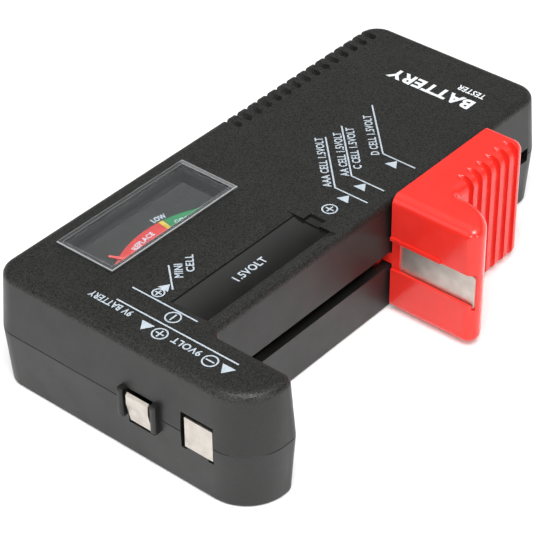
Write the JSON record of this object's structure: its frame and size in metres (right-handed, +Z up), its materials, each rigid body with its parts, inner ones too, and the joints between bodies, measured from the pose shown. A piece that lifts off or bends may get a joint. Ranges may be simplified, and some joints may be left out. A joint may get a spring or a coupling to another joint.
{
  "type": "battery tester",
  "caption": "Hand-held battery tester: L-shaped black case with a fixed contact arm, a red sliding contact, 9 V block contacts in the end face and a needle meter under a clear window.",
  "frame": {"origin": "on the rest face, in the middle of the case's footprint", "axes": "+X along the case away from the end with the 9 V contacts, +Y away from the side with the fixed arm and slider, +Z up out of the face with the meter"},
  "size_m": [0.1092, 0.0609, 0.026],
  "materials": {
    "case_black": "finely grained black moulding",
    "steel": "zinc-plated screw",
    "clear": "clear polystyrene",
    "slider_red": "glossy red moulding",
    "nickel": "nickel-plated strip, satin",
    "dial": "black dial with coloured bands",
    "frame_black": "black moulding",
    "brass": "turned brass",
    "magnet": "ground magnet steel",
    "iron": "plated soft iron",
    "aluminium": "bare sheet",
    "copper": "enamelled copper and phosphor bronze",
    "pointer_red": "thin sheet painted red",
    "resistor": "lacquered body with colour bands",
    "lead_black": "soft sleeve",
    "lead_yellow": "soft sleeve",
    "lead_red": "soft sleeve"
  },
  "bodies": {
    "case": {"upper_shell": "case_black", "lower_shell": "case_black", "case_screws": "steel", "meter_window": "clear", "contact_rail": "nickel", "rail_screws": "steel", "negative_contact": "nickel", "positive_contact": "nickel", "dial_plate": "dial", "meter_frame": "frame_black", "bearing_bridge": "brass", "bridge_screws": "brass", "core_magnet": "magnet", "yoke_ring": "iron", "core_spacers": "brass", "lower_bearing": "brass", "upper_bearing": "brass", "lower_hairspring": "copper", "upper_hairspring": "copper", "meter_terminals": "brass", "load_resistor": "resistor", "nine_volt_resistor": "resistor", "meter_resistor": "resistor", "lead_negative": "lead_black", "lead_nine_volt": "lead_yellow", "lead_rail": "lead_red"},
    "slider": {"slider": "slider_red", "slider_contact": "nickel"},
    "pointer": {"coil_former": "aluminium", "coil_winding": "copper", "coil_pivots": "steel", "pointer": "pointer_red", "balance_weights": "brass"}
  },
  "joints": [
    {"name": "slider_slide", "type": "slide", "parent": "case", "child": "slider", "axis": [1, 0, 0], "range_m": [-0.0455, 0.015]},
    {"name": "pointer_turn", "type": "hinge", "parent": "case", "child": "pointer", "pos_m": [-0.0249, -0.003, 0.013], "axis": [0, 0, -1], "range_deg": [0, 54], "stiffness_Nm_per_rad": 0.00002}
  ]
}
